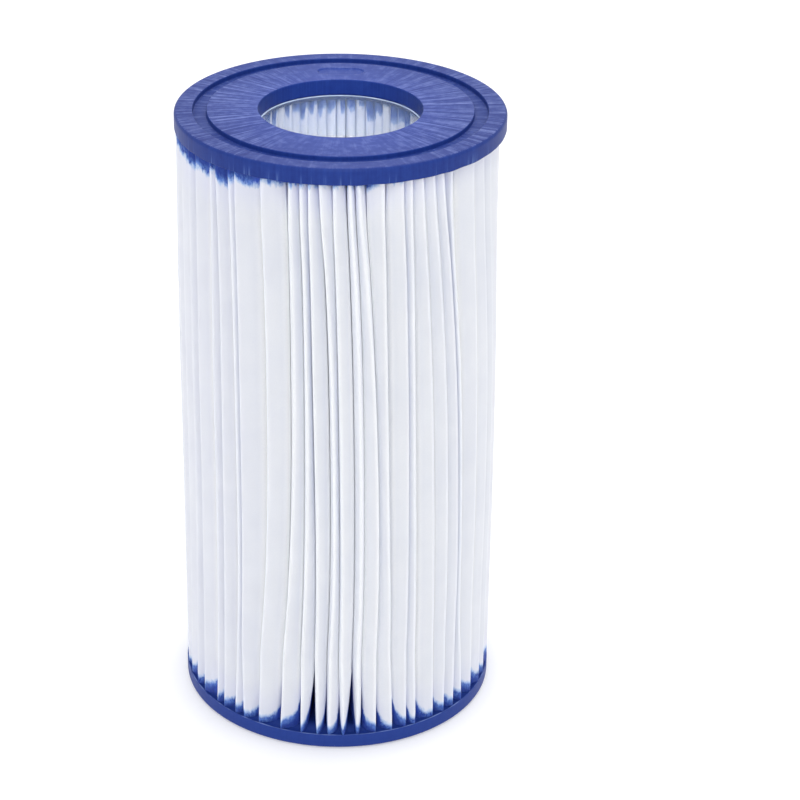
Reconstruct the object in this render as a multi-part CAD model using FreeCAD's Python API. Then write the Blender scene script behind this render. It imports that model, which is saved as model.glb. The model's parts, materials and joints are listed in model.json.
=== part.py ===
import FreeCAD, Part
import math
import os

# Pleated pool filter cartridge, in millimetres. The axis is +Z and the origin is the centre
# of the bottom cap's outer face, so the cartridge stands on z = 0.

# Overall size
HEIGHT = 203.0
CAP_DIAMETER = 103.0
BORE_DIAMETER = 51.0

# End caps, cast in place around the ends of the media; the potting is the cap's own resin
# that stands a little higher between the pleats
CAP_THICKNESS = 5.2
CAP_EDGE_ROUND = 1.1
GROOVE_OUTER_DIAMETER = 91.4
GROOVE_INNER_DIAMETER = 82.8
GROOVE_DEPTH = 1.6
POTTING_RISE = 2.0
POTTING_DIAMETER = 95.0
BLANK_MARK_LENGTH = 15.0
BLANK_MARK_WIDTH = 6.0
BLANK_MARK_DEPTH = 0.4
BLANK_MARK_RADIUS = 33.5

# Pleated media, one sheet folded back and forth around the core
PLEAT_COUNT = 58
SHEET_THICKNESS = 0.6
MEDIA_DIAMETER = 100.8
MEDIA_INNER_DIAMETER = 53.2
OUTER_FOLD_RADIUS = 1.4
INNER_FOLD_RADIUS = 0.65
SEAM_FOLD_RADIUS = 0.55
MEDIA_EMBED = 3.2
SEAM_ANGLE = 90.0

# Adhesive bead that joins the two ends of the sheet
SEAM_BEAD_WIDTH = 6.0

# Perforated support core
CORE_BORE_DIAMETER = 50.2
CORE_WALL = 1.0
WINDOWS_AROUND = 10
WINDOW_ROWS = 12
WINDOW_WIDTH = 11.0
WINDOW_HEIGHT = 10.5
WINDOW_CORNER = 1.5
CORE_END_BAND = 12.0

# Worked out from the sizes above
PITCH = 2.0 * math.pi / PLEAT_COUNT
HALF_SHEET = SHEET_THICKNESS / 2.0
OUTER_CENTRE_RADIUS = MEDIA_DIAMETER / 2.0 - OUTER_FOLD_RADIUS - HALF_SHEET
INNER_CENTRE_RADIUS = MEDIA_INNER_DIAMETER / 2.0 + INNER_FOLD_RADIUS + HALF_SHEET
CORE_OUTER_DIAMETER = CORE_BORE_DIAMETER + 2.0 * CORE_WALL
MEDIA_BOTTOM = CAP_THICKNESS - MEDIA_EMBED
MEDIA_HEIGHT = HEIGHT - 2.0 * MEDIA_BOTTOM
AXIS = FreeCAD.Vector(0, 0, 1)
CENTRE = FreeCAD.Vector(0, 0, 0)


def polar(radius, angle):
    """A point at a radius and an angle about the cartridge's axis, at z = 0."""
    return FreeCAD.Vector(radius * math.cos(angle), radius * math.sin(angle), 0)


def turned(vector, angle):
    """The vector turned about +Z."""
    c, s = math.cos(angle), math.sin(angle)
    return FreeCAD.Vector(vector.x * c - vector.y * s, vector.x * s + vector.y * c, 0)


def ring(inner_diameter, outer_diameter, height, z=0.0):
    """A plain ring on the axis."""
    base = FreeCAD.Vector(0, 0, z)
    outer = Part.makeCylinder(outer_diameter / 2.0, height, base, AXIS)
    inner = Part.makeCylinder(inner_diameter / 2.0, height, base, AXIS)
    return outer.cut(inner)


class Flank:
    """One flat side of a pleat: the tangent that crosses from an outer to an inner fold."""

    def __init__(self, outer_angle, side, outer_fold):
        self.side = side
        self.outer_fold = outer_fold
        self.outer_centre = polar(OUTER_CENTRE_RADIUS, outer_angle)
        self.inner_centre = polar(INNER_CENTRE_RADIUS, outer_angle + side * PITCH / 2.0)
        across = self.inner_centre - self.outer_centre
        lean = math.acos((outer_fold + INNER_FOLD_RADIUS) / across.Length)
        self.normal = turned(across.normalize(), -side * lean)

    def top(self, offset):
        """Where a face of the sheet leaves the outer fold."""
        return self.outer_centre + self.normal * (self.outer_fold + offset)

    def foot(self, offset):
        """Where the same face meets the inner fold."""
        return self.inner_centre - self.normal * (INNER_FOLD_RADIUS - offset)


def face_edges(offset):
    """One face of the sheet from end to end; offset is half the thickness, outward or inward."""
    edges = []
    seam = math.radians(SEAM_ANGLE)
    flank = Flank(seam, 1, SEAM_FOLD_RADIUS)
    for number in range(1, PLEAT_COUNT + 1):
        last = number == PLEAT_COUNT
        angle = seam + number * PITCH
        fold = SEAM_FOLD_RADIUS if last else OUTER_FOLD_RADIUS
        rising = Flank(angle, -1, fold)
        valley = polar(
            INNER_CENTRE_RADIUS - INNER_FOLD_RADIUS + offset, angle - PITCH / 2.0
        )
        edges.append(Part.makeLine(flank.top(offset), flank.foot(offset)))
        edges.append(Part.Arc(flank.foot(offset), valley, rising.foot(offset)).toShape())
        edges.append(Part.makeLine(rising.foot(offset), rising.top(offset)))
        if not last:
            flank = Flank(angle, 1, fold)
            tip = polar(OUTER_CENTRE_RADIUS + fold + offset, angle)
            edges.append(Part.Arc(rising.top(offset), tip, flank.top(offset)).toShape())
    return edges


def sheet_ends():
    """The sheet's two cut ends, which face each other across the seam."""
    seam = math.radians(SEAM_ANGLE)
    first = Flank(seam, 1, SEAM_FOLD_RADIUS)
    last = Flank(seam + 2.0 * math.pi, -1, SEAM_FOLD_RADIUS)
    return [
        Part.makeLine(first.top(HALF_SHEET), first.top(-HALF_SHEET)),
        Part.makeLine(last.top(HALF_SHEET), last.top(-HALF_SHEET)),
    ]


def pleated_media():
    """The whole sheet, folded and standing between the caps."""
    edges = face_edges(HALF_SHEET) + face_edges(-HALF_SHEET) + sheet_ends()
    outline = Part.Wire(Part.__sortEdges__(edges))
    sheet = Part.Face(outline).extrude(FreeCAD.Vector(0, 0, MEDIA_HEIGHT))
    sheet.translate(FreeCAD.Vector(0, 0, MEDIA_BOTTOM))
    return sheet


def seam_adhesive():
    """The bead between the sheet's two ends, inside the pleat that they make."""
    seam = math.radians(SEAM_ANGLE)
    corners = []
    for side in (1, -1):
        flank = Flank(seam, side, SEAM_FOLD_RADIUS)
        top = flank.top(-HALF_SHEET)
        along = (flank.foot(-HALF_SHEET) - top).normalize()
        pair = [top, top + along * SEAM_BEAD_WIDTH]
        corners += pair if side == 1 else pair[::-1]
    bead = Part.Face(Part.makePolygon(corners + corners[:1]))
    bead = bead.extrude(FreeCAD.Vector(0, 0, HEIGHT - 2.0 * CAP_THICKNESS))
    bead.translate(FreeCAD.Vector(0, 0, CAP_THICKNESS))
    return bead


def blank_mark():
    """A shallow oval recess, such as a mould insert leaves, with nothing written in it."""
    radius = BLANK_MARK_WIDTH / 2.0
    half = BLANK_MARK_LENGTH / 2.0 - radius
    z = HEIGHT - BLANK_MARK_DEPTH
    middle = Part.makeBox(2.0 * half, BLANK_MARK_WIDTH, BLANK_MARK_DEPTH)
    middle.translate(FreeCAD.Vector(-half, BLANK_MARK_RADIUS - radius, z))
    ends = []
    for x in (-half, half):
        base = FreeCAD.Vector(x, BLANK_MARK_RADIUS, z)
        ends.append(Part.makeCylinder(radius, BLANK_MARK_DEPTH, base, AXIS))
    return middle.multiFuse(ends).removeSplitter()


def cap_blank():
    """A cap with its outer face down on z = 0, before the media and the bead are pressed in."""
    disc = Part.makeCylinder(CAP_DIAMETER / 2.0, CAP_THICKNESS)
    rim = [e for e in disc.Edges if e.Closed and e.BoundBox.ZMax < CAP_THICKNESS / 2.0]
    cap = disc.makeFillet(CAP_EDGE_ROUND, rim)
    cap = cap.cut(Part.makeCylinder(BORE_DIAMETER / 2.0, CAP_THICKNESS))
    cap = cap.cut(ring(GROOVE_INNER_DIAMETER, GROOVE_OUTER_DIAMETER, GROOVE_DEPTH))
    potting = ring(CORE_OUTER_DIAMETER, POTTING_DIAMETER, POTTING_RISE, CAP_THICKNESS)
    return cap.fuse(potting).removeSplitter()


def end_cap(top, embedded):
    """A cap in its place, cast around what is embedded in it."""
    cap = cap_blank()
    if top:
        cap.rotate(CENTRE, FreeCAD.Vector(1, 0, 0), 180)
        cap.translate(FreeCAD.Vector(0, 0, HEIGHT))
        cap = cap.cut(blank_mark())
    return cap.cut(embedded)


def window_cutter(angle, z):
    """A bar with rounded corners that opens two windows, one on each side of the core."""
    length = 2.0 * CORE_OUTER_DIAMETER
    bar = Part.makeBox(length, WINDOW_WIDTH, WINDOW_HEIGHT)
    bar.translate(FreeCAD.Vector(-length / 2.0, -WINDOW_WIDTH / 2.0, z))
    lengthwise = [edge for edge in bar.Edges if edge.BoundBox.XLength > WINDOW_WIDTH]
    bar = bar.makeFillet(WINDOW_CORNER, lengthwise)
    bar.rotate(CENTRE, AXIS, math.degrees(angle))
    return bar


def support_core():
    """The thin tube inside the pleats, with rows of windows that let the water through."""
    length = HEIGHT - 2.0 * CAP_THICKNESS
    tube = ring(CORE_BORE_DIAMETER, CORE_OUTER_DIAMETER, length, CAP_THICKNESS)
    span = length - 2.0 * CORE_END_BAND
    rise = (span - WINDOW_HEIGHT) / (WINDOW_ROWS - 1)
    cutters = []
    for row in range(WINDOW_ROWS):
        z = CAP_THICKNESS + CORE_END_BAND + row * rise
        for number in range(WINDOWS_AROUND // 2):
            angle = 2.0 * math.pi * number / WINDOWS_AROUND
            cutters.append(window_cutter(angle, z))
    return tube.cut(cutters)


def save(name, shape):
    """Writes one sub-part as a clean single solid."""
    solids = shape.Solids
    if len(solids) != 1 or not solids[0].isValid():
        raise ValueError(f"{name} has {len(solids)} solids, or isn't valid")
    solids[0].exportStep(f"parts/{name}.step")
    print(f"{name}: {solids[0].Volume / 1000.0:.2f} cm3")


def main():
    os.makedirs("parts", exist_ok=True)
    media = pleated_media()
    bead = seam_adhesive()
    save("pleated_media", media)
    save("seam_adhesive", bead)
    save("support_core", support_core())
    save("bottom_end_cap", end_cap(False, [media, bead]))
    save("top_end_cap", end_cap(True, [media, bead]))


main()
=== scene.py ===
import json
import math

import bpy
import numpy as np
from mathutils import Matrix, Vector


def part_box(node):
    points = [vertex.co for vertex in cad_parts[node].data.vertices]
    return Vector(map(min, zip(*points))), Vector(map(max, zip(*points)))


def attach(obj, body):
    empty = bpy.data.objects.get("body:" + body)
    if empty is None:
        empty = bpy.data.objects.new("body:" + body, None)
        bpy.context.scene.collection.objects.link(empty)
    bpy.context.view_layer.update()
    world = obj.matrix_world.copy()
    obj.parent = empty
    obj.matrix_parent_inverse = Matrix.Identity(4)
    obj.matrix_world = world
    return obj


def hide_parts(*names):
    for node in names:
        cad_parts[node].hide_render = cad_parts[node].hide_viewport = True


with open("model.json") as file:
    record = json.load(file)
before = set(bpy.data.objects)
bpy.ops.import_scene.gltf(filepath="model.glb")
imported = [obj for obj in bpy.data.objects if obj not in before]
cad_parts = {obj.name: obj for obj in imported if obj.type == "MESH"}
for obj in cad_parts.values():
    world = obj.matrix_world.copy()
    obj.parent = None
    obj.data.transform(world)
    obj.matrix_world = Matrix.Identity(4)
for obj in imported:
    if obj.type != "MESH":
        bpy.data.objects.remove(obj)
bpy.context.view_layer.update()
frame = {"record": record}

# The looks of the filter cartridge, standing on its foot at z = 0 with its axis on Z. The photo's
# camera looks from -Y, so +X is the picture's right.

MM = 0.001

# Places and sizes that the frame gives, in metres
TOP_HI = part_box("top_end_cap")[1]
FOOT_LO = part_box("bottom_end_cap")[0]
CORE_LO, CORE_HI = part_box("support_core")
MEDIA_LO, MEDIA_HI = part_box("pleated_media")
SEAM_LO, SEAM_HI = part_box("seam_adhesive")
MOUNTS = {mount["name"]: mount for mount in frame["record"]["mounts"]}
HEIGHT = TOP_HI.z
CAP_RADIUS = TOP_HI.x
BORE_RADIUS = MOUNTS["top_bore"]["dims"]["r_mm"] * MM
CAP_THICKNESS = MOUNTS["top_bore"]["dims"]["length_mm"] * MM
CORE_RADIUS = CORE_HI.x
FOOT_TOP = FOOT_LO.z + CAP_THICKNESS
CAP_BOTTOM = HEIGHT - CAP_THICKNESS
HALF_HEIGHT = HEIGHT / 2.0

# The caps' moulded detail
CAP_EDGE_ROUND = 1.1 * MM
CAP_UNDER_ROUND = 0.2 * MM
CAP_RAGGED = 0.10 * MM
BORE_EDGE_ROUND = 0.25 * MM
GROOVE_INNER = 41.4 * MM
GROOVE_OUTER = 45.7 * MM
GROOVE_DEPTH = 1.6 * MM
GROOVE_ROUND = 0.3 * MM
MARK_HALF_LENGTH = 7.5 * MM
MARK_HALF_WIDTH = 3.0 * MM
MARK_RADIUS = 33.5 * MM
MARK_DEPTH = 0.5 * MM
MARK_WALL = 0.35 * MM
POOL_RISE = 1.7 * MM
POOL_LIP = 1.0 * MM
POOL_RAMP = 4.0 * MM
POOL_CORE_GAP = 0.08 * MM
CAP_STEPS = 720

# The core's moulded detail
WINDOWS_AROUND = 10
WINDOW_ROWS = 12
WINDOW_WIDE = 11.0 * MM
WINDOW_TALL = 10.5 * MM
WINDOW_CORNER = 1.5 * MM
CORE_WALL = 1.0 * MM
CORE_END_BAND = 12.0 * MM
CORE_EDGE = 0.18 * MM
CORE_RIM_PROUD = 0.05 * MM
CORE_RIM_TALL = 1.0 * MM
CORE_LIT_RIM = 0.2 * MM
CELL_MARKS = (-1.0, -0.92, -0.82, -0.7, -0.4, -0.13, 0.13, 0.4, 0.7, 0.82, 0.92)

# The sheet: its thickness and its folds, with every angle in degrees from the front towards +X.
# Two gaps between pleats open into a V at the foot, and two stay a slit all the way up.
PLEATS = 58
SHEET = 0.42 * MM
FOLD_ROUND = 0.18 * MM
VALLEY_ROUND = 1.21 * MM
VALLEY_CENTRE = CORE_RADIUS + 0.5 * MM + SHEET / 2.0
TIP_RADIUS_FOOT = 51.25 * MM
TIP_RADIUS_TOP = 50.2 * MM
TIP_SHIFT_TOP = 0.8 * MM
TIP_WAVE = 0.10 * MM
CLOSEST_TIPS = 2.2
LEAN_TURN = 6.0
LEAN_SHARP = 8.0
OPEN_VEES = (-10.2, 3.7)
VEE_WIDE = 1.8
VEE_FOOT_FILL = 0.22
VEE_TALL = 24.0 * MM
NARROW_SLITS = (-5.0, 3.7)
SLIT_WIDE = 1.5
SLIT_OPEN = 0.05
SEAM_HALF_GAP = 0.55 * MM
SEAM_TIP_HALF_GAP = 0.23 * MM
SEAM_PINCH = (49.2 * MM, 50.1 * MM)
SEAM_GLUED = (9.0 * MM, 13.0 * MM)
BEAD_ROWS = 400
BEAD_WAVE = 0.35 * MM
ROWS = 30
SMALLEST_STEP = 1e-6

# Colours, as linear red, green and blue. A pair is the dark and the light end of a ramp.
# The caps' level faces: real streaks over a colour lighter than the walls', which is painted sheen
CAP_STREAKS_AND_SHEEN = ((0.015, 0.032, 0.200), (0.145, 0.190, 0.46))
CAP_SHEEN_BETWEEN_STREAKS = (0.032, 0.056, 0.250)
# painted shade in the groove of the top face
CAP_GROOVE_SHADE = (0.012, 0.036, 0.21)
CAP_WALL = ((0.008, 0.026, 0.180), (0.013, 0.040, 0.230))
CAP_PALE_RUNS = (0.20, 0.32, 0.62)
# painted shade for the level resin among the pleats
CAP_POOL_SHADE = (0.008, 0.020, 0.135)
CAP_FOOT = (0.015, 0.046, 0.262)
# part flash, part painted edge highlight on the foot's rim
CAP_FLASH_AND_HIGHLIGHT = (0.22, 0.31, 0.62)
CLOTH_WHITE = ((0.742, 0.768, 0.856), (0.792, 0.816, 0.89))
# painted shade that greys the cloth towards the left and right
CLOTH_PAINTED_SHADE = ((0.682, 0.702, 0.806), (0.728, 0.748, 0.846))
# painted fill light for clean cloth in the crevices
CLOTH_CREVICE_FILL_LIGHT = (0.945, 0.957, 0.968)
# painted highlight along the creases
CLOTH_CREASE_HIGHLIGHT = (0.91, 0.93, 0.96)
CLOTH_SPECK = (0.66, 0.69, 0.80)
# a faint lavender tint beyond the stain, partly the resin's tint, partly painted shade
STAIN_HALO_AND_SHADE = (0.66, 0.68, 0.90)
STAIN_RIM = (0.30, 0.46, 0.76)
STAIN_NAVY = ((0.017, 0.042, 0.24), (0.030, 0.070, 0.34))
STAIN_THIN = (0.085, 0.175, 0.50)
STAIN_PATCH = (0.120, 0.235, 0.60)
# painted fill light for stained cloth in the crevices
STAIN_CREVICE_FILL_LIGHT = (0.042, 0.085, 0.40)
# painted fill light for stain far down in the open V gaps
STAIN_DEEP_FILL_LIGHT = (0.08, 0.15, 0.62)
STAIN_INNER = (0.030, 0.105, 0.36)
CORE_MILK = ((0.50, 0.63, 0.95), (0.62, 0.74, 0.98))
CORE_ALPHA, CORE_RIM_ALPHA = 0.13, 0.7
GLUE_CREAM = ((0.74, 0.70, 0.58), (0.84, 0.81, 0.70))
FLOOR_PALE = ((0.76, 0.76, 0.765), (0.78, 0.78, 0.785))

# The camera, the lamps and the floor, in metres, watts and degrees, and the lens in millimetres
LENS, SENSOR = 111.5, 36.0
CAMERA_DISTANCE, CAMERA_RISE, CAMERA_ROLL = 0.8108, 27.0, 0.35
CAMERA_SHIFT = (0.0765, 0.0006)
WORLD_COLOUR = (0.990, 0.994, 1.0, 1.0)
PANEL = (1.6, 1.2)
KEY_PLACE, KEY_POWER = (-0.25, -1.9, 1.3), 7.0
OVERHEAD_PLACE, OVERHEAD_POWER = (0.2, 0.7, 1.8), 8.5
BORE_LAMP_OFFSET, BORE_LAMP_POWER, BORE_LAMP_ANGLE = (0.05, -0.42, 0.46), 24.0, 4.6
BORE_LAMP_BLEND, BORE_LAMP_SOFT = 0.3, 0.03
FLOOR_HALF, FLOOR_DROP, FLOOR_GLOW = 6.0, 0.0002, 0.28

# Angles of the pleat tips that face the front, where they enter the top and the bottom cap
FRONT_TOP = (
    -72, -65, -59, -50, -47, -41, -38, -27.5, -17, -13.5, -10.5, -7,
    -2, 3, 6, 14.5, 21.5, 25, 29, 33.5, 37.5, 42, 53.5, 61,
)
FRONT_FOOT = (
    -74, -66, -60, -51, -47, -41, -36.5, -30, -21, -13, -7, -3,
    2.5, 7.5, 14, 20.5, 26, 30, 38, 43.5, 48.5, 54, 61, 68.5,
)


def smooth(x, low, high):
    """0 below low, 1 above high, and a smooth step between."""
    t = np.clip((x - low) / (high - low), 0.0, 1.0)
    return t * t * (3.0 - 2.0 * t)


def new_object(name, points, faces):
    """A smooth-shaded mesh object from plain lists."""
    mesh = bpy.data.meshes.new(name)
    mesh.from_pydata([tuple(p) for p in points], [], [tuple(f) for f in faces])
    mesh.validate()
    mesh.polygons.foreach_set("use_smooth", [True] * len(mesh.polygons))
    obj = bpy.data.objects.new(name, mesh)
    bpy.context.scene.collection.objects.link(obj)
    return obj


def float_attribute(mesh, name, values):
    """A number on each vertex for the materials to read."""
    layer = mesh.attributes.new(name, "FLOAT", "POINT")
    layer.data.foreach_set("value", np.asarray(values, np.float32).ravel())


# ---------------------------------------------------------------- pleated media


def back_gaps(rng, total, count, spread):
    """Uneven gaps that add up to total."""
    gaps = np.exp(rng.normal(0.0, spread, count))
    return gaps * total / gaps.sum()


def tip_ends(rng):
    """The angle of every tip at the bottom and at the top, with the front ones first."""
    front_foot, front_top = np.array(FRONT_FOOT, float), np.array(FRONT_TOP, float)
    count = PLEATS - len(front_foot)
    foot_gaps = back_gaps(rng, 360.0 + front_foot[0] - front_foot[-1], count + 1, 0.33)
    change = back_gaps(rng, 1.0, count + 1, 0.2)
    top_gaps = foot_gaps * change
    top_gaps *= (360.0 + front_top[0] - front_top[-1]) / top_gaps.sum()
    foot = np.concatenate([front_foot, front_foot[-1] + np.cumsum(foot_gaps)[:-1]])
    top = np.concatenate([front_top, front_top[-1] + np.cumsum(top_gaps)[:-1]])
    return foot, top


def spread_tips(angles):
    """The same tips with no two closer than CLOSEST_TIPS, row by row."""
    gaps = np.diff(np.vstack([angles, angles[:1] + 360.0]), axis=0)
    spare = np.clip(gaps - CLOSEST_TIPS, 0.0, None)
    gaps = CLOSEST_TIPS + spare * (360.0 - PLEATS * CLOSEST_TIPS) / spare.sum(0)
    return angles[:1] + np.vstack([np.zeros_like(gaps[:1]), np.cumsum(gaps, axis=0)[:-1]])


def slow_waves(rng, count, share, strength):
    """For each pleat, a slow wave up the height."""
    total = np.zeros((count, len(share)))
    for order in (1.0, 2.0, 3.0):
        size = rng.normal(0.0, strength / order, (count, 1))
        phase = rng.uniform(0.0, 2.0 * math.pi, (count, 1))
        total += size * np.sin(math.pi * order * share[None, :] + phase)
    return total


def flank_depths():
    """How far behind the tip each point of a flank lies, as a share of the way to the valley."""
    whole = TIP_RADIUS_FOOT - VALLEY_CENTRE
    tip = FOLD_ROUND * (1.0 - np.cos(np.radians([0.0, 60.0, 90.0]))) / whole
    middle = np.array([0.7, 1.5, 2.4, 3.5, 5.0, 8.0, 13.0, 18.5]) * MM / whole
    bend = 1.0 - np.cos(np.radians([90.0, 60.0, 30.0, 0.0]))
    valley = 1.0 - VALLEY_ROUND * bend / whole
    return np.concatenate([tip, middle, valley])


def round_fold(depth, radius):
    """Half the width of a fold at a depth behind its tip."""
    back = np.clip(1.0 - depth / radius, 0.0, 1.0)
    return radius * np.sqrt(np.clip(1.0 - back * back, 0.0, 1.0))


def tip_lines(rng, share):
    """The angle of each tip at each height, in radians, from the seam round to the seam again.
    The tip nearest the back becomes the seam, and its neighbours move over with it."""
    foot, top = tip_ends(rng)
    sway = rng.normal(1.2, 1.1, PLEATS)
    tips = foot[:, None] + (top - foot)[:, None] * share + sway[:, None] * np.sin(math.pi * share)
    tips += slow_waves(rng, PLEATS, share, 0.3) * np.sin(math.pi * share)
    tips = spread_tips(tips)
    from_back = np.abs(tips.mean(1) - 180.0)
    seam = int(np.argmin(from_back))
    near = np.clip(1.0 - from_back / 80.0, 0.0, 1.0)
    tips += near[:, None] * (180.0 - tips[seam])[None, :]
    return np.radians(np.vstack([tips[seam:], tips[:seam] + 360.0, tips[seam:seam + 1] + 360.0]))


def wrapped(bearing):
    """A bearing in degrees, from -180 to 180, from one in radians."""
    return np.degrees(np.arctan2(np.sin(bearing), np.cos(bearing)))


def near_to(bearing, centre, wide):
    """1 where a bearing in radians is at a centre in degrees, and falling to 0 beyond wide."""
    return np.exp(-((wrapped(bearing) - centre) / wide) ** 2)


def lean_of(bearing):
    """How far the pleats lie over: from 1, towards the next tip, to -1, towards the one before.
    It changes over at LEAN_TURN and at every quarter turn from there."""
    return -np.tanh(LEAN_SHARP * np.sin(2.0 * (bearing - math.radians(LEAN_TURN))))


def straight_rise(height, length):
    """0 at the cap and 1 beyond length, almost straight between."""
    t = np.clip(height / length, 0.0, 1.0)
    return t * (1.0 + 0.35 * t * (1.0 - t))


def flank_fill(rng, share, z, bearing):
    """For each gap between two tips: how much of it the two facing flanks take up at each height,
    and which part of that is the first flank's. They take up least beside the caps, and in the
    gaps on either side of the seam's pleat, the flank of the pleat next to it has all of it."""
    above, below = (z - FOOT_TOP)[None, :], (CAP_BOTTOM - z)[None, :]
    count = len(bearing)
    vees = sum(near_to(bearing, angle, VEE_WIDE) for angle in OPEN_VEES)
    slits = sum(near_to(bearing, angle, SLIT_WIDE) for angle in NARROW_SLITS)
    foot = rng.uniform(0.80, 1.0, count) * (1.0 - vees) + VEE_FOOT_FILL * vees
    top = rng.uniform(0.85, 1.0, count)
    most = rng.uniform(0.990, 0.999, count) - SLIT_OPEN * slits
    foot, top, most = foot[:, None], top[:, None], most[:, None]
    fill = most + slow_waves(rng, count, share, 0.002)
    foot_taper = rng.uniform(14.0, 24.0, count) * MM * (1.0 - vees) + VEE_TALL * vees
    fill *= foot + (1.0 - foot) * straight_rise(above, foot_taper[:, None])
    top_taper = rng.uniform(16.0, 30.0, (count, 1)) * MM
    fill *= top + (1.0 - top) * straight_rise(below, top_taper)
    part = 0.5 + 0.47 * lean_of(bearing)[:, None] + rng.normal(0.0, 0.03, (count, 1))
    part = part + slow_waves(rng, count, share, 0.015)
    part[0], part[-1] = 0.0, 1.0
    return np.clip(fill, 0.03, 0.999), np.clip(part, 0.03, 0.97)


def sheet_rows():
    """Each row's share of the sheet's height, and its height: closer together near the caps."""
    t = np.linspace(0.0, 1.0, ROWS)
    share = 0.55 * t + 0.45 * (0.5 - 0.5 * np.cos(math.pi * t))
    return share, MEDIA_LO.z + (MEDIA_HI.z - MEDIA_LO.z) * share


def tip_radii(rng, share, tips):
    """How far each tip stands from the axis at each height: less, and off to -X, at the top."""
    radius = TIP_RADIUS_FOOT + (TIP_RADIUS_TOP - TIP_RADIUS_FOOT) * smooth(share, 0.55, 1.0)
    radius = radius[None, :] - TIP_SHIFT_TOP * smooth(share, 0.3, 1.0) * np.sin(tips)
    return radius + slow_waves(rng, PLEATS + 1, share, TIP_WAVE) - SHEET / 2.0


def glued_half(half, radius, depth):
    """Half the gap of the seam's pleat, where its two flanks hold the bead between them."""
    glued = 1.0 - smooth(depth, *SEAM_GLUED)
    pinched = SEAM_TIP_HALF_GAP - SEAM_HALF_GAP
    seam_half = SEAM_HALF_GAP + pinched * smooth(radius, *SEAM_PINCH)
    return half * (1.0 - glued) + seam_half * glued


def flank(depths, tip, valley, wide, taken, reach, side):
    """One flank's radius, angle, way from its tip, and tuck: its depth as a share of reach, the
    depth at which it lies against its neighbour. tip is (radius, angle, at the seam or not).
    side is 1 for a flank that goes in from its tip, and -1 for one that comes out to it."""
    tip_radius, tip_angle, at_seam = tip
    radius = tip_radius + (VALLEY_CENTRE - tip_radius) * depths
    depth = tip_radius - radius
    fold = round_fold(depth, FOLD_ROUND)
    pulled_in = round_fold(radius - VALLEY_CENTRE, VALLEY_ROUND) * smooth(depths, 0.3, 0.85)
    room = radius * wide * (1.0 - depths) - 2.0 * fold - SHEET
    puff = np.clip(taken * room, SMALLEST_STEP, None)
    tuck = depth / reach
    half = fold + puff * (1.0 - (1.0 - np.clip(tuck, 0.0, 1.0)) ** 1.5) - pulled_in
    if at_seam:
        half = glued_half(half, radius, depth)
    angle = tip_angle + (valley - tip_angle) * depths + side * half / radius
    step = np.hypot(np.diff(radius, axis=0), radius[1:] * np.diff(angle, axis=0))
    away = np.vstack([np.zeros_like(step[:1]), np.cumsum(step, axis=0)])
    if side == -1:
        away = away[-1:] - away
    return np.stack([radius, angle, away, tuck])


def media_lines():
    """The sheet's centre line at each height: x, y and z of shape (rows, points), and what the
    stain needs: the way along the sheet from the tip, tuck, angle, flank number and length."""
    rng = np.random.default_rng(11)
    share, z = sheet_rows()
    tips = tip_lines(rng, share)
    pitch = 2.0 * math.pi / PLEATS
    middle = (tips.mean(1) - np.arange(PLEATS + 1) * pitch).mean()
    valleys = middle + (np.arange(PLEATS) + 0.5) * pitch
    bearing = 0.5 * (tips[1:] + tips[:-1]).mean(1)
    fill, part = flank_fill(rng, share, z, bearing)
    reach = rng.uniform(2.0, 3.9, (2, PLEATS))
    reach = (reach + near_to(bearing, 1.0, 6.0) * rng.uniform(0.0, 0.8, (2, PLEATS))) * MM
    tip_radius = tip_radii(rng, share, tips)

    depths = flank_depths()[:, None]
    runs, numbers = [], []
    for gap in range(PLEATS):
        wide = tips[gap + 1] - tips[gap]
        ways = ((gap, 1, depths, part[gap]), (gap + 1, -1, depths[::-1], 1.0 - part[gap]))
        for way, (at, side, order, mine) in enumerate(ways):
            tip = (tip_radius[at], tips[at], at in (0, PLEATS))
            run = flank(order, tip, valleys[gap], wide, mine * fill[gap], reach[way][gap], side)
            runs.append(run[:, way:])
            numbers.append(np.full(run.shape[1] - way, 2 * gap + way))
    radius, angle, away, tuck = np.concatenate(runs, axis=1).transpose(0, 2, 1)
    step = np.hypot(np.diff(radius, axis=1), radius[:, 1:] * np.diff(angle, axis=1)).max(0)
    keep = np.concatenate([[True], step > SMALLEST_STEP])
    radius, angle, away, tuck = radius[:, keep], angle[:, keep], away[:, keep], tuck[:, keep]
    x, y = radius * np.sin(angle), -radius * np.cos(angle)
    zz = np.repeat(z[:, None], radius.shape[1], axis=1)
    row = ROWS // 2
    along = np.concatenate([[0.0], np.cumsum(np.hypot(np.diff(x[row]), np.diff(y[row])))])
    return x, y, zz, away, tuck, angle, np.concatenate(numbers)[keep], along


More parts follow.
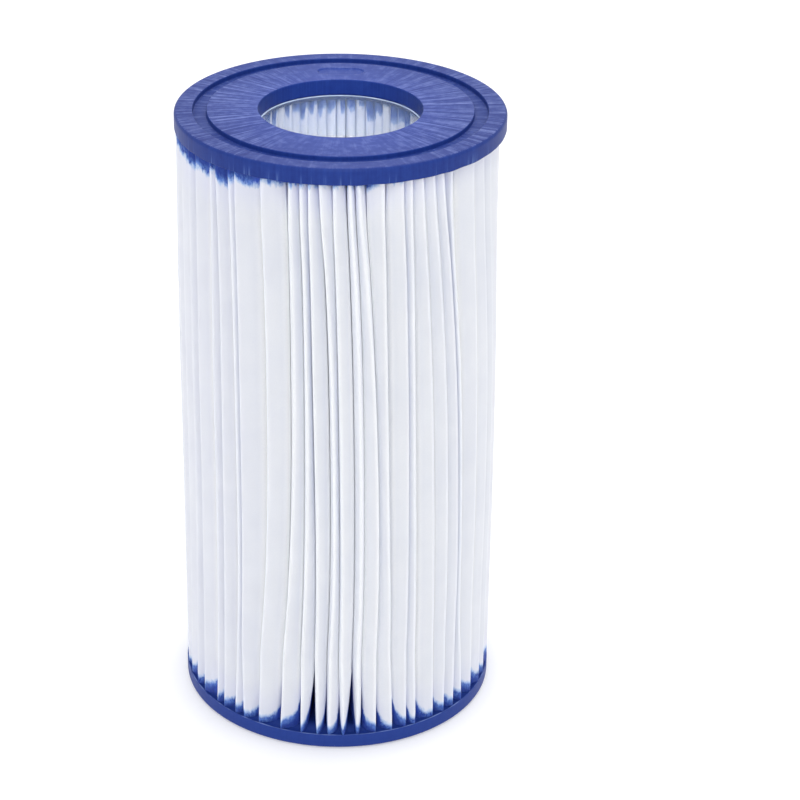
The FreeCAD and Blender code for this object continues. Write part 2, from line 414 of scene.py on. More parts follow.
def stain_heights(away, tuck, angle, number):
    """How far the caps' resin has crept along the cloth from each cap, for each point: least at
    the tips, more further in, and from the top cap mostly on the left."""
    rng = np.random.default_rng(23)
    count = 2 * PLEATS
    bearing = wrapped(angle)
    aside = smooth(np.abs(bearing), 25.0, 75.0)
    tip_foot = rng.uniform(1.8, 3.8, count)[number] + aside * rng.uniform(-0.8, 2.0, count)[number]
    front = near_to(angle, 1.0, 12.0)
    rise_foot = rng.uniform(4.5, 8.5, count)[number]
    rise_foot = rise_foot + front * (3.0 + 9.0 * smooth(away, 3.0 * MM, 7.0 * MM))
    bend = rng.uniform(1.4, 3.2, count)[number]
    foot = (tip_foot + rise_foot * np.clip(tuck, 0.0, 1.15) ** bend) * MM
    left = smooth(-bearing, 24.0, 48.0) * (1.0 - smooth(-bearing, 150.0, 175.0))
    right = smooth(bearing, 8.0, 30.0) * (1.0 - smooth(bearing, 110.0, 150.0))
    tip_top = rng.uniform(0.0, 0.8, count)[number] - 1.2 * right
    tip_top = tip_top + left * rng.uniform(1.6, 4.4, count)[number]
    rise_top = rng.uniform(1.0, 4.0, count)[number] * (1.0 - 0.8 * right)
    top = (tip_top + rise_top * (1.0 - np.exp(-away / (3.5 * MM)))) * MM
    inside = smooth(away, 20.0 * MM, 23.0 * MM)
    top = top * (1.0 - inside) + inside * rng.uniform(0.0, 8.0, count)[number] * MM
    return foot, top


def skin_faces(rows, columns):
    """The faces of a sheet of two layers of points, closed round its four cut edges."""
    size = rows * columns
    row, column = np.meshgrid(np.arange(rows - 1), np.arange(columns - 1), indexing="ij")
    a = (row * columns + column).ravel()
    quads = np.stack([a, a + 1, a + columns + 1, a + columns], axis=1)
    low = np.arange(columns - 1)
    high = low + (rows - 1) * columns
    first = np.arange(rows - 1) * columns
    last = first + columns - 1
    return np.concatenate([
        quads,
        (quads + size)[:, ::-1],
        np.stack([low + size, low + 1 + size, low + 1, low], axis=1),
        np.stack([high, high + 1, high + 1 + size, high + size], axis=1),
        np.stack([first, first + columns, first + columns + size, first + size], axis=1),
        np.stack([last + size, last + columns + size, last + columns, last], axis=1),
    ])


def pleated_media():
    """The folded sheet as one closed skin, with its two cut ends at the back."""
    x, y, z, away, tuck, angle, number, along = media_lines()
    rows, columns = x.shape
    dx, dy = np.gradient(x, axis=1), np.gradient(y, axis=1)
    length = np.hypot(dx, dy)
    nx, ny = dy / length, -dx / length
    layers = []
    for offset in (0.5, -0.5):
        layer = np.stack([x + nx * SHEET * offset, y + ny * SHEET * offset, z], axis=-1)
        layers.append(layer.reshape(-1, 3))
    obj = new_object("folded_filter_cloth", np.concatenate(layers), skin_faces(rows, columns))
    foot, top = stain_heights(away, tuck, angle, number[None, :])
    lengths = np.repeat(along[None, :], rows, axis=0)
    values = {"stain_foot": foot, "stain_top": top, "along": lengths, "away": away, "tuck": tuck}
    for name, value in values.items():
        float_attribute(obj.data, name, np.concatenate([value.ravel()] * 2))
    return obj


def seam_bead():
    """The strip of set adhesive that holds the sheet's two ends together, with a wavy edge."""
    rng = np.random.default_rng(5)
    z = np.linspace(SEAM_LO.z, SEAM_HI.z, BEAD_ROWS)
    share = np.linspace(0.0, 1.0, BEAD_ROWS)
    half = 0.5 * (SEAM_HI.x - SEAM_LO.x)
    waves = np.zeros((2, BEAD_ROWS))
    for order in (3.0, 7.0, 17.0, 41.0, 83.0):
        phase = rng.uniform(0.0, 2.0 * math.pi, (2, 1))
        waves += np.sin(2.0 * math.pi * order * share + phase) / order ** 0.4
    waves = waves / np.abs(waves).max()
    outer = SEAM_HI.y - BEAD_WAVE * (1.0 + waves[0])
    inner = SEAM_LO.y + BEAD_WAVE * (1.0 + waves[1])
    turn = np.radians(np.linspace(0.0, 180.0, 9))
    rows = []
    for row in range(BEAD_ROWS):
        far = [(half * math.cos(a), outer[row] - half + half * math.sin(a)) for a in turn]
        near = [(-half * math.cos(a), inner[row] + half - half * math.sin(a)) for a in turn]
        rows.append([(x, y, z[row]) for x, y in far + near])
    ring = len(rows[0])
    points = [p for row in rows for p in row]
    faces = [tuple(reversed(range(ring))), tuple(range(len(points) - ring, len(points)))]
    for row in range(BEAD_ROWS - 1):
        for k in range(ring):
            a, b = row * ring + k, row * ring + (k + 1) % ring
            faces.append((a, b, b + ring, a + ring))
    return new_object("seam_bead", points, faces)


# ---------------------------------------------------------------- core


def cell_boundary():
    """Points round one cell of the core's lattice, each from -1 to 1 across and up."""
    low = [(u, -1.0) for u in CELL_MARKS]
    right = [(1.0, u) for u in CELL_MARKS]
    high = [(-u, 1.0) for u in CELL_MARKS]
    left = [(-1.0, -u) for u in CELL_MARKS]
    return np.array(low + right + high + left)


def window_outline(marks, grow):
    """The window's rounded outline, grown by grow, with one point for each boundary mark."""
    half = np.array([WINDOW_WIDE / 2.0 + grow, WINDOW_TALL / 2.0 + grow])
    corner = WINDOW_CORNER + grow
    point = marks * half
    inner = np.clip(point, -(half - corner), half - corner)
    off = point - inner
    length = np.maximum(np.hypot(off[:, 0], off[:, 1]), 1e-12)[:, None]
    turned = inner + off / length * corner
    return np.where((np.abs(off) > 0.0).all(1)[:, None], turned, point)


def lattice_cell(pitch, tall):
    """Rings of (across, up, radius) from one cell's edge, round its window, and back inside."""
    marks = cell_boundary()
    outline = {grow: window_outline(marks, grow * CORE_EDGE) for grow in (0.0, 0.3, 1.0)}
    edge = marks * np.array([pitch / 2.0, tall / 2.0])
    outer, inner = CORE_RADIUS, CORE_RADIUS - CORE_WALL
    steps = (
        (edge, outer),
        (outline[1.0], outer),
        (outline[0.3], outer - 0.12 * CORE_EDGE),
        (outline[0.0], outer - 0.6 * CORE_EDGE),
        (outline[0.0], inner + 0.6 * CORE_EDGE),
        (outline[0.3], inner + 0.12 * CORE_EDGE),
        (outline[1.0], inner),
        (edge, inner),
    )
    return [np.column_stack([flat, np.full(len(flat), radius)]) for flat, radius in steps]


def end_band_section(base, end):
    """The section of the band between the lattice and one end, as (height, radius). Its last
    millimetre stands a little proud inside."""
    way = 1.0 if end > base else -1.0
    outer, inner, e = CORE_RADIUS, CORE_RADIUS - CORE_WALL, CORE_EDGE
    rim = inner - CORE_RIM_PROUD
    half = 0.5 * (base + end)
    return [
        (base, outer),
        (half, outer),
        (end - way * e, outer),
        (end - way * 0.3 * e, outer - 0.3 * e),
        (end, outer - e),
        (end, rim + e),
        (end - way * 0.3 * e, rim + 0.3 * e),
        (end - way * e, rim),
        (end - way * CORE_RIM_TALL, rim),
        (end - way * 1.3 * CORE_RIM_TALL, inner),
        (half, inner),
        (base, inner),
    ]


def core_tube():
    """The perforated tube: a lattice of rounded windows between two plain bands. Its end rims
    take the second material, which is less see-through."""
    middle = CORE_RADIUS - CORE_WALL / 2.0
    pitch = 2.0 * math.pi * middle / WINDOWS_AROUND
    low, high = CORE_LO.z + CORE_END_BAND, CORE_HI.z - CORE_END_BAND
    tall = (high - low) / WINDOW_ROWS
    found, points, faces = {}, [], []

    def point(across, up, radius):
        turn = across / middle
        place = (radius * math.sin(turn), -radius * math.cos(turn), up)
        key = tuple(round(v * 1e6) for v in place)
        if key not in found:
            found[key] = len(points)
            points.append(place)
        return found[key]

    rings = lattice_cell(pitch, tall)
    for column in range(WINDOWS_AROUND):
        for row in range(WINDOW_ROWS):
            shift = np.array([column * pitch, low + (row + 0.5) * tall, 0.0])
            ids = [[point(*p) for p in ring + shift] for ring in rings]
            for near, far in zip(ids, ids[1:]):
                for k in range(len(near)):
                    after = (k + 1) % len(near)
                    faces.append((near[k], near[after], far[after], far[k]))
    marks = [(column + u / 2.0) * pitch for column in range(WINDOWS_AROUND) for u in CELL_MARKS]
    for base, end in ((high, CORE_HI.z), (low, CORE_LO.z)):
        section = end_band_section(base, end)
        ids = [[point(across, z, radius) for z, radius in section] for across in marks]
        for here, beside in zip(ids, ids[1:] + ids[:1]):
            for k in range(len(section) - 1):
                quad = (here[k], beside[k], beside[k + 1], here[k + 1])
                faces.append(quad if end > base else quad[::-1])
    obj = new_object("core_tube", points, faces)
    rim_from = CORE_HI.z - HALF_HEIGHT - CORE_LIT_RIM
    for face in obj.data.polygons:
        face.material_index = int(abs(face.center.z - HALF_HEIGHT) > rim_from)
    return obj


# ---------------------------------------------------------------- end caps


def arc(centre_r, centre_z, radius, start, end, steps):
    """Points of a rounded corner in the cap's section, angles in degrees from +r towards +z."""
    found = []
    for angle in np.radians(np.linspace(start, end, steps)):
        found.append((centre_r + radius * math.cos(angle), centre_z + radius * math.sin(angle)))
    return found


def line(start, end, steps):
    """Points from start to end, with neither end."""
    t = np.linspace(0.0, 1.0, steps + 2)[1:-1]
    return [(start[0] + (end[0] - start[0]) * s, start[1] + (end[1] - start[1]) * s) for s in t]


def cap_section():
    """The closed outline of a cap from the bore round to the bore, outer face up at z = 0.
    The far side is where the resin met the pleats, so it rises there in a shallow pool."""
    e, b, g, u = CAP_EDGE_ROUND, BORE_EDGE_ROUND, GROOVE_ROUND, CAP_UNDER_ROUND
    floor = -GROOVE_DEPTH
    under = -CAP_THICKNESS
    pool = under - POOL_RISE
    lip = CAP_RADIUS - POOL_LIP
    inside = CORE_RADIUS + POOL_CORE_GAP
    out = []
    out += arc(BORE_RADIUS + b, -b, b, 180, 90, 5)
    out += line((BORE_RADIUS + b, 0), (GROOVE_INNER - g, 0), 44)
    out += arc(GROOVE_INNER - g, -g, g, 90, 0, 5)
    out += line((GROOVE_INNER, -g), (GROOVE_INNER, floor + g), 2)
    out += arc(GROOVE_INNER + g, floor + g, g, 180, 270, 4)
    out += line((GROOVE_INNER + g, floor), (GROOVE_OUTER - g, floor), 6)
    out += arc(GROOVE_OUTER - g, floor + g, g, 270, 360, 4)
    out += line((GROOVE_OUTER, floor + g), (GROOVE_OUTER, -g), 2)
    out += arc(GROOVE_OUTER + g, -g, g, 180, 90, 5)
    out += line((GROOVE_OUTER + g, 0), (CAP_RADIUS - e, 0), 8)
    out += arc(CAP_RADIUS - e, -e, e, 90, 0, 9)
    out += line((CAP_RADIUS, -e), (CAP_RADIUS, under + u), 6)
    out += arc(CAP_RADIUS - u, under + u, u, 0, -90, 4)
    out += line((CAP_RADIUS - u, under), (lip, under), 1)
    for share in np.linspace(0.0, 1.0, 9):
        rise = math.sin(0.5 * math.pi * share) ** 1.5
        out.append((lip - share * POOL_RAMP, under + (pool - under) * rise))
    out += line((lip - POOL_RAMP, pool), (inside, pool), 8)
    out.append((inside, pool))
    out += line((inside, pool), (inside, under), 1)
    out.append((inside, under))
    out.append((BORE_RADIUS, under))
    out += line((BORE_RADIUS, under), (BORE_RADIUS, -b), 5)
    return out


def mark_depth(x, y):
    """The blank oval recess in the top cap, as a depth at each point."""
    straight = MARK_HALF_LENGTH - MARK_HALF_WIDTH
    off = np.hypot(np.clip(np.abs(x) - straight, 0.0, None), y - MARK_RADIUS)
    return MARK_DEPTH * (1.0 - smooth(off, MARK_HALF_WIDTH - MARK_WALL, MARK_HALF_WIDTH))


def end_cap(name, top):
    """One cast cap, turned about the axis from its section, with a slightly ragged lower edge
    where the mould met the cloth."""
    section = np.array(cap_section())
    ring = len(section)
    turn = np.linspace(0.0, 2.0 * math.pi, CAP_STEPS, endpoint=False)
    r, z = section[:, 0][None, :], section[:, 1][None, :]
    x, y = r * np.sin(turn)[:, None], -r * np.cos(turn)[:, None]
    z = np.repeat(z, CAP_STEPS, axis=0)
    ragged = CAP_RAGGED * np.sin(turn * 37.0 + 1.3 * np.sin(turn * 11.0)) * np.sin(turn * 5.0 + 0.7)
    at_edge = smooth(-z, CAP_THICKNESS - 0.8 * MM, CAP_THICKNESS)
    at_edge = at_edge * smooth(r, CAP_RADIUS - 2.0 * MM, CAP_RADIUS)
    z = z + at_edge * ragged[:, None]
    if top:
        z = HEIGHT + z - mark_depth(x, y) * (z > -0.01 * MM)
    else:
        z = -z
    points = np.stack([x, y, z], axis=-1).reshape(-1, 3)
    step, at = np.meshgrid(np.arange(CAP_STEPS), np.arange(ring), indexing="ij")
    here, after = step * ring, (step + 1) % CAP_STEPS * ring
    beside = (at + 1) % ring
    quads = np.stack([here + at, after + at, after + beside, here + beside], axis=-1)
    quads = quads.reshape(-1, 4)
    return new_object(name, points, quads[:, ::-1] if top else quads)


# ---------------------------------------------------------------- materials


class Nodes:
    """Short calls for building one material. A value is a number, a colour or another node's
    output."""

    def __init__(self, name):
        self.material = bpy.data.materials.new(name)
        self.material.use_nodes = True
        self.tree = self.material.node_tree
        self.tree.nodes.clear()
        self.out = self.add("ShaderNodeOutputMaterial")

    def add(self, kind, **settings):
        node = self.tree.nodes.new(kind)
        for key, value in settings.items():
            setattr(node, key, value)
        return node

    def link(self, source, target):
        self.tree.links.new(source, target)

    def feed(self, socket, value):
        if isinstance(value, bpy.types.NodeSocket):
            self.link(value, socket)
        else:
            socket.default_value = value

    def math(self, operation, a, b=0.0):
        node = self.add("ShaderNodeMath", operation=operation)
        for socket, value in zip(node.inputs, (a, b)):
            self.feed(socket, value)
        return node.outputs[0]

    def plus(self, a, b):
        return self.math("ADD", a, b)

    def less(self, a, b):
        return self.math("SUBTRACT", a, b)

    def times(self, a, b):
        return self.math("MULTIPLY", a, b)

    def attribute(self, name):
        return self.add("ShaderNodeAttribute", attribute_name=name).outputs["Fac"]

    def where(self):
        """The point in the part's own frame."""
        return self.add("ShaderNodeTexCoord").outputs["Object"]

    def parts(self, vector):
        """A vector's x, y and z."""
        node = self.add("ShaderNodeSeparateXYZ")
        self.link(vector, node.inputs[0])
        return list(node.outputs)

    def vector(self, x, y, z):
        node = self.add("ShaderNodeCombineXYZ")
        for socket, value in zip(node.inputs, (x, y, z)):
            self.feed(socket, value)
        return node.outputs[0]

    def noise(self, vector, scale, detail, rough):
        node = self.add("ShaderNodeTexNoise")
        self.link(vector, node.inputs["Vector"])
        node.inputs["Scale"].default_value = scale
        node.inputs["Detail"].default_value = detail
        node.inputs["Roughness"].default_value = rough
        return node.outputs["Fac"]

    def ramp(self, value, low, high, colours, between=None):
        """A colour that goes from one to another as the value goes from low to high. between is
        (value, colour) for one more stop on the way."""
        node = self.add("ShaderNodeValToRGB")
        self.link(value, node.inputs[0])
        stops = node.color_ramp.elements
        for stop, place, colour in zip(stops, (low, high), colours):
            stop.position = place
            stop.color = (*colour, 1.0)
        if between:
            stop = stops.new(between[0])
            stop.color = (*between[1], 1.0)
        return node.outputs[0]

    def step(self, value, low, high, out_low=0.0, out_high=1.0):
        """A smooth change from out_low to out_high as the value goes from low to high."""
        node = self.add("ShaderNodeMapRange", interpolation_type="SMOOTHSTEP")
        for socket, v in zip(node.inputs, (value, low, high, out_low, out_high)):
            self.feed(socket, v)
        return node.outputs[0]

    def mix(self, share, a, b):
        node = self.add("ShaderNodeMix", data_type="RGBA")
        self.feed(node.inputs[0], share)
        for socket, value in ((node.inputs[6], a), (node.inputs[7], b)):
            self.feed(socket, (*value, 1.0) if isinstance(value, tuple) else value)
        return node.outputs[2]

    def bump(self, height, distance, strength):
        node = self.add("ShaderNodeBump")
        node.inputs["Strength"].default_value = strength
        node.inputs["Distance"].default_value = distance
        self.link(height, node.inputs["Height"])
        return node.outputs[0]

    def surface(self, **inputs):
        shader = self.add("ShaderNodeBsdfPrincipled")
        for key, value in inputs.items():
            self.feed(shader.inputs[key.replace("_", " ")], value)
        self.link(shader.outputs[0], self.out.inputs[0])
        return self.material


def up_facing(n):
    """1 where the surface lies level, facing up or down."""
    normal = n.add("ShaderNodeNewGeometry").outputs["Normal"]
    return n.step(n.math("ABSOLUTE", n.parts(normal)[2]), 0.80, 0.97)


def cap_face_colour(n, streaks, mottle, round_x, from_middle):
    """The flat faces: fine pale streaks that run outward, on a colour lighter than the walls' that
    is painted sheen, with the streaks painted strongest to the left and right as painted sheen, and
    painted shade in the groove.
    """
    # painted sheen: the streaks' contrast grows towards the left and right, where the light catches
    # them
    aside = n.step(n.math("ABSOLUTE", round_x), 0.25, 0.95, 0.22, 1.2)
    tone = n.times(n.less(streaks, 0.5), aside)
    tone = n.plus(n.plus(tone, 0.375), n.times(mottle, 0.25))
    face = n.ramp(tone, 0.38, 0.66, CAP_STREAKS_AND_SHEEN, (0.50, CAP_SHEEN_BETWEEN_STREAKS))
    # painted shade: the groove and the mark's recess darken with depth below the face
    groove_shade = n.step(from_middle, HALF_HEIGHT - 1.3 * MM, HALF_HEIGHT - 0.25 * MM, 0.45, 0.0)
    return n.mix(groove_shade, face, CAP_GROOVE_SHADE)


def cap_flash_and_highlight(n, where, radius, from_middle):
    """How much of the pale edge line there is: a broken line on the rim's rounded edge, right
    beside the cloth, part flash and part painted edge highlight.
    """
    edge = HALF_HEIGHT - CAP_THICKNESS
    flash = n.step(from_middle, edge + 0.05 * MM, edge + 0.22 * MM, 1.0, 0.0)
    flash = n.times(flash, n.step(radius, CAP_RADIUS - 0.42 * MM, CAP_RADIUS - 0.12 * MM))
    return n.times(flash, n.step(n.noise(where, 160.0, 2.0, 0.6), 0.40, 0.62, 0.10, 0.55))


def cap_wall_colour(n, where, runs, mottle, radius, from_middle, pool, on_top):
    """The round walls, and the pool between the pleats, darkened with painted shade. The top cap's
    wall has pale runs beside the cloth, and the bottom cap's is a little paler all over, with a
    pale broken line on its edge that is part flash and part painted edge highlight."""
    below_top = n.less(1.0, on_top)
    tone = n.plus(n.times(mottle, 0.4), n.times(runs, 0.6))
    wall = n.ramp(tone, 0.34, 0.66, CAP_WALL)
    near_cloth = n.step(from_middle, HALF_HEIGHT - CAP_THICKNESS, HALF_HEIGHT - 1.4 * MM, 1.0, 0.0)
    on_side = n.step(radius, CAP_RADIUS - 1.0 * MM, CAP_RADIUS - 0.4 * MM)
    pale = n.times(n.step(runs, 0.56, 0.72, 0.0, 0.34), n.times(near_cloth, on_side))
    wall = n.mix(n.times(pale, on_top), wall, CAP_PALE_RUNS)
    # painted shade: the level resin among the pleats and under the rims is darkened
    wall = n.mix(pool, wall, CAP_POOL_SHADE)
    wall = n.mix(n.times(below_top, 0.6), wall, CAP_FOOT)
    # the bottom cap's pale edge line: part flash, part painted edge highlight
    return n.mix(n.times(cap_flash_and_highlight(n, where, radius, from_middle), below_top), wall, CAP_FLASH_AND_HIGHLIGHT)


def cap_material():
    """Cast blue polyurethane: smooth walls, and faces with fine streaks that run outward, with
    painted sheen on the faces and painted shade in the groove and the pool.
    """
    n = Nodes("cast_blue_polyurethane")
    where = n.where()
    x, y, z = n.parts(where)
    radius = n.math("SQRT", n.plus(n.times(x, x), n.times(y, y)))
    round_x, round_y = n.math("DIVIDE", x, radius), n.math("DIVIDE", y, radius)
    from_middle = n.math("ABSOLUTE", n.less(z, HALF_HEIGHT))
    on_top = n.math("GREATER_THAN", z, HALF_HEIGHT)
    outer = n.step(from_middle, HALF_HEIGHT - 2.4 * MM, HALF_HEIGHT - 2.0 * MM)
    level = up_facing(n)
    # flat marks the level outer faces, which carry painted sheen; pool marks the level faces among
    # the pleats, which carry painted shade
    flat = n.times(level, outer)
    pool = n.times(level, n.less(1.0, outer))

    outward = n.vector(round_x, round_y, n.times(radius, 1.1))
    fine = n.noise(outward, 85.0, 4.0, 0.6)
    streaks = n.plus(n.times(fine, 0.6), n.times(n.noise(outward, 22.0, 3.0, 0.6), 0.4))
    mottle = n.noise(where, 420.0, 3.0, 0.65)
    grain = n.noise(where, 2600.0, 2.0, 0.6)
    runs = n.noise(n.vector(round_x, round_y, n.times(z, 0.6)), 46.0, 3.0, 0.6)
    face = cap_face_colour(n, streaks, mottle, round_x, from_middle)
    wall = cap_wall_colour(n, where, runs, mottle, radius, from_middle, pool, on_top)
    height = n.times(n.plus(streaks, n.times(grain, 0.25)), flat)
    height = n.plus(height, n.times(mottle, 0.15))
    return n.surface(
        Base_Color=n.mix(flat, wall, face),
        Roughness=n.plus(n.plus(n.times(flat, 0.06), n.times(fine, 0.12)), 0.40),
        Specular_IOR_Level=0.16,
        Normal=n.bump(height, 0.10 * MM, 0.55),
    )


def stain_depth(n, z, along, teeth, soft, away):
    """How far each point lies inside the stain, in metres, and below 0 outside it. Its edge is
    frayed, and beside the top cap it also runs down in tongues."""
    runs = n.noise(n.vector(along, n.times(z, 0.12), 0.5), 520.0, 2.0, 0.6)
    small = n.plus(n.times(n.less(teeth, 0.5), 3.6 * MM), n.times(n.less(soft, 0.5), 3.4 * MM))
    tall = n.plus(small, n.times(n.less(runs, 0.5), 4.0 * MM))
    calm = n.step(away, 0.0, 2.5 * MM, 0.35, 0.8)
    foot = n.less(n.plus(n.attribute("stain_foot"), n.times(small, calm)), n.less(z, FOOT_TOP))
    top = n.less(n.plus(n.attribute("stain_top"), tall), n.less(CAP_BOTTOM, z))
    return n.math("MAXIMUM", foot, top)


def clean_colour(n, x, where, sheet_at, away, crevice_fill_light):
    """The clean cloth: slightly uneven white, greyed to the left and right by painted shade, with a
    painted highlight on the crease and painted fill light where a flank tucks in, against its
    shade."""
    wide = n.noise(where, 60.0, 2.0, 0.5)
    white = n.ramp(wide, 0.3, 0.7, CLOTH_WHITE)
    shaded_white = n.ramp(wide, 0.3, 0.7, CLOTH_PAINTED_SHADE)
    # painted shade: the cloth greys towards the left and, less, towards the right
    white = n.mix(n.step(x, -44.0 * MM, -6.0 * MM, 1.0, 0.0), white, shaded_white)
    white = n.mix(n.step(x, 18.0 * MM, 46.0 * MM, 0.0, 0.5), white, shaded_white)
    # painted fill light: lighter where a flank tucks in, against the shade
    white = n.mix(crevice_fill_light, white, CLOTH_CREVICE_FILL_LIGHT)
    # painted highlight: the crease is paler, most at the front
    crease = n.step(away, 0.2 * MM, 0.9 * MM, 1.0, 0.0)
    at_front = n.step(n.math("ABSOLUTE", x), 9.0 * MM, 26.0 * MM, 0.32, 0.06)
    white = n.mix(n.times(crease, at_front), white, CLOTH_CREASE_HIGHLIGHT)
    speck = n.noise(sheet_at, 2600.0, 2.0, 0.7)
    return n.mix(n.step(speck, 0.30, 0.70, 0.0, 0.14), white, CLOTH_SPECK)


def stained_colour(n, wet, sheet_at, teeth, soft, away, crevice_fill_light, inner):
    """The stained cloth: navy, thin and patchy along the stain's edge, and lighter blue further in
    between the pleats, which is painted fill light against the shade there."""
    near_edge = n.step(wet, 0.4 * MM, 3.2 * MM, 0.85, 0.0)
    patch = n.step(n.noise(sheet_at, 1300.0, 2.0, 0.6), 0.40, 0.62)
    blue = n.ramp(teeth, 0.3, 0.7, STAIN_NAVY)
    blue = n.mix(n.times(near_edge, n.step(soft, 0.35, 0.62)), blue, STAIN_THIN)
    blue = n.mix(n.times(near_edge, patch), blue, STAIN_PATCH)
    # painted fill light: lighter blue where a flank tucks in
    blue = n.mix(n.times(crevice_fill_light, 0.8), blue, STAIN_CREVICE_FILL_LIGHT)
    # painted fill light: stain 4 to 9 mm in from the tip, short of the inner folds, is lighter
    behind = n.times(n.step(away, 4.0 * MM, 9.0 * MM), n.less(1.0, inner))
    blue = n.mix(behind, blue, STAIN_DEEP_FILL_LIGHT)
    return n.mix(n.times(inner, 0.6), blue, STAIN_INNER)


def cloth_material():
    """White spunbonded cloth, with the blue resin soaked into it beside each cap."""
    n = Nodes("white_spunbonded_cloth")
    where = n.where()
    x, _, z = n.parts(where)
    along, away = n.attribute("along"), n.attribute("away")
    sheet_at = n.vector(along, n.times(z, 0.5), 0.0)
    teeth = n.noise(sheet_at, 900.0, 3.0, 0.65)
    soft = n.noise(sheet_at, 170.0, 2.0, 0.5)
    # how far a flank has tucked in, for the painted fill light in the crevices
    crevice_fill_light = n.step(n.attribute("tuck"), 0.40, 0.90)
    inner = n.step(away, 19.0 * MM, 21.5 * MM)
    wet = stain_depth(n, z, along, teeth, soft, away)
    blur = n.times(inner, 1.4 * MM)
    share = n.step(wet, n.less(-0.3 * MM, blur), n.plus(1.1 * MM, blur))
    clean = clean_colour(n, x, where, sheet_at, away, crevice_fill_light)
    # partly the resin's faint tint, partly painted shade beside the caps
    clean = n.mix(n.step(wet, -13.0 * MM, 0.0, 0.0, 0.48), clean, STAIN_HALO_AND_SHADE)
    clean = n.mix(n.step(wet, -1.3 * MM, 0.2 * MM, 0.0, 0.75), clean, STAIN_RIM)
    stained = stained_colour(n, wet, sheet_at, teeth, soft, away, crevice_fill_light, inner)
    fibre = n.noise(n.vector(along, n.times(z, 0.35), 0.0), 5200.0, 2.0, 0.6)
    clouds = n.noise(sheet_at, 900.0, 3.0, 0.6)
    height = n.plus(n.times(fibre, 0.4), n.times(clouds, 0.6))
    return n.surface(
        Base_Color=n.mix(share, clean, stained),
        Roughness=n.less(0.88, n.times(share, 0.38)),
        Specular_IOR_Level=n.less(0.25, n.times(share, 0.13)),
        Subsurface_Weight=1.0,
        Subsurface_Radius=(1.0, 1.0, 1.0),
        Subsurface_Scale=0.0012,
        Normal=n.bump(height, 0.06 * MM, 0.5),
    )


def core_material(name, alpha):
    """Milky polypropylene, as see-through as alpha says."""
    n = Nodes(name)
    x, y, z = n.parts(n.where())
    flow = n.noise(n.vector(x, y, n.times(z, 0.15)), 320.0, 3.0, 0.6)
    return n.surface(
        Base_Color=n.ramp(flow, 0.3, 0.7, CORE_MILK),
        Roughness=n.plus(0.22, n.times(flow, 0.12)),
        Alpha=alpha,
        Specular_IOR_Level=0.15,
        Subsurface_Weight=0.6,
        Subsurface_Radius=(1.0, 1.0, 1.0),
        Subsurface_Scale=0.002,
        Normal=n.bump(flow, 0.05 * MM, 0.4),
    )


def glue_material():
    """Set hot-melt adhesive."""
    n = Nodes("hot_melt")
    cloud = n.noise(n.where(), 500.0, 3.0, 0.6)
    return n.surface(
        Base_Color=n.ramp(cloud, 0.3, 0.7, GLUE_CREAM),
        Roughness=n.plus(0.25, n.times(cloud, 0.2)),
        Subsurface_Weight=0.3,
        Subsurface_Radius=(1.0, 0.9, 0.7),
        Subsurface_Scale=0.001,
        Normal=n.bump(cloud, 0.1 * MM, 0.5),
    )


def floor_material():
    """A pale seamless floor that gives off a little light."""
    n = Nodes("pale_floor")
    wide = n.noise(n.where(), 6.0, 2.0, 0.5)
    return n.surface(
        Base_Color=n.ramp(wide, 0.3, 0.7, FLOOR_PALE),
        Roughness=0.9,
        Emission_Color=(1.0, 1.0, 1.0, 1.0),
        Emission_Strength=FLOOR_GLOW,
    )


# ---------------------------------------------------------------- stage


def aim(obj, place, target):
    """Puts a lamp at a place and points it at a target."""
    obj.location = place
    toward = Vector(target) - Vector(place)
    obj.rotation_euler = toward.to_track_quat("-Z", "Y").to_euler()
    bpy.context.scene.collection.objects.link(obj)


def panel_light(name, power, place, target):
    """A broad soft panel."""
    light = bpy.data.lights.new(name, "AREA")
    light.shape = "RECTANGLE"
    light.size, light.size_y = PANEL
    light.energy = power
    aim(bpy.data.objects.new(name, light), place, target)


def bore_light():
    """A narrow lamp that looks down into the bore."""
    lamp = bpy.data.lights.new("bore_spot", "SPOT")
    lamp.energy = BORE_LAMP_POWER
    lamp.spot_size = math.radians(BORE_LAMP_ANGLE)
    lamp.spot_blend = BORE_LAMP_BLEND
    lamp.shadow_soft_size = BORE_LAMP_SOFT
    target = Vector((0.0, 0.0, HEIGHT))
    aim(bpy.data.objects.new("bore_spot", lamp), target + Vector(BORE_LAMP_OFFSET), target)


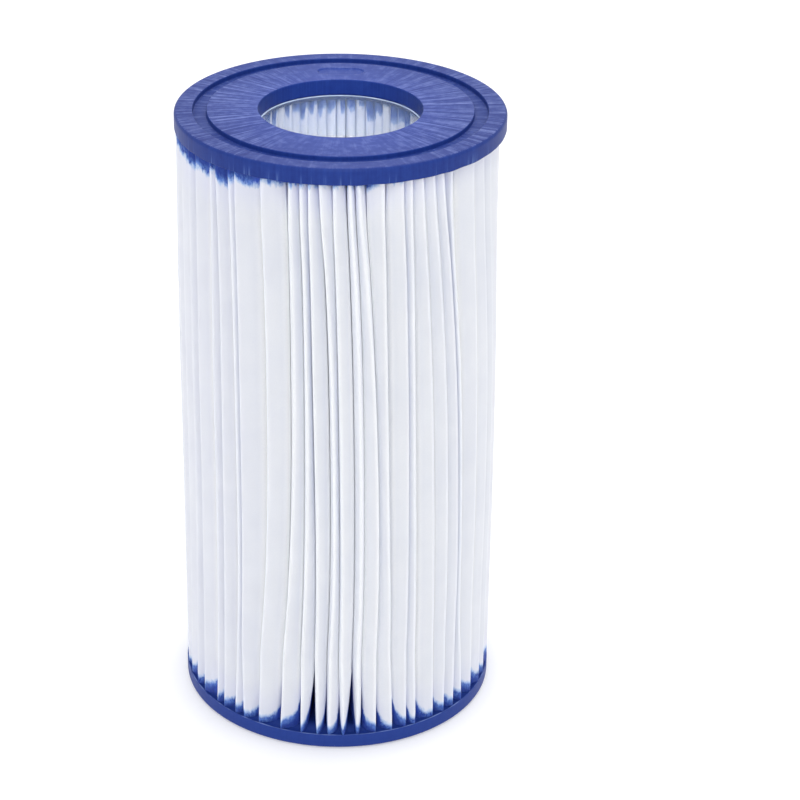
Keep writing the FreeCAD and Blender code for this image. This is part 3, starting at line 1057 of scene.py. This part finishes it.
def add_floor():
    """The floor, a hair below the part so that the two don't share a plane."""
    a, z = FLOOR_HALF, -FLOOR_DROP
    floor = new_object("floor", [(-a, -a, z), (a, -a, z), (a, a, z), (-a, a, z)], [(0, 1, 2, 3)])
    floor.data.materials.append(floor_material())


def add_camera(target):
    """The camera, as fitted to the photo. Its shift puts the part left of the picture's middle."""
    camera = bpy.data.objects.new("camera", bpy.data.cameras.new("camera"))
    bpy.context.scene.collection.objects.link(camera)
    camera.data.lens = LENS
    camera.data.sensor_width = SENSOR
    camera.data.shift_x, camera.data.shift_y = CAMERA_SHIFT
    rise = math.radians(CAMERA_RISE)
    back = Vector((0.0, -math.cos(rise), math.sin(rise)))
    camera.location = target + back * CAMERA_DISTANCE
    turn = (-back).to_track_quat("-Z", "Y").to_matrix()
    roll = Matrix.Rotation(math.radians(CAMERA_ROLL), 3, "Z")
    camera.rotation_euler = (turn @ roll).to_euler()
    bpy.context.scene.camera = camera


def stage():
    """The floor, the soft light and the camera."""
    add_floor()
    world = bpy.data.worlds.new("studio")
    world.use_nodes = True
    world.node_tree.nodes["Background"].inputs[0].default_value = WORLD_COLOUR
    world.node_tree.nodes["Background"].inputs[1].default_value = 1.0
    bpy.context.scene.world = world
    middle = Vector((0.0, 0.0, HALF_HEIGHT))
    panel_light("key", KEY_POWER, KEY_PLACE, middle)
    panel_light("overhead", OVERHEAD_POWER, OVERHEAD_PLACE, middle)
    bore_light()
    add_camera(middle)


bpy.context.scene.view_settings.view_transform = "Standard"
bpy.context.scene.cycles.diffuse_bounces = 10

cloth = pleated_media()
cloth.data.materials.append(cloth_material())
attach(cloth, "root")
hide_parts("pleated_media")

cap_look = cap_material()
for name, node, top in (("top_cap", "top_end_cap", True), ("bottom_cap", "bottom_end_cap", False)):
    cap = end_cap(name, top)
    cap.data.materials.append(cap_look)
    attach(cap, "root")
    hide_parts(node)

core = core_tube()
core.data.materials.append(core_material("milky_polypropylene", CORE_ALPHA))
core.data.materials.append(core_material("milky_polypropylene_rim", CORE_RIM_ALPHA))
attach(core, "root")
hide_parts("support_core")

bead = seam_bead()
bead.data.materials.append(glue_material())
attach(bead, "root")
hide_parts("seam_adhesive")

stage()
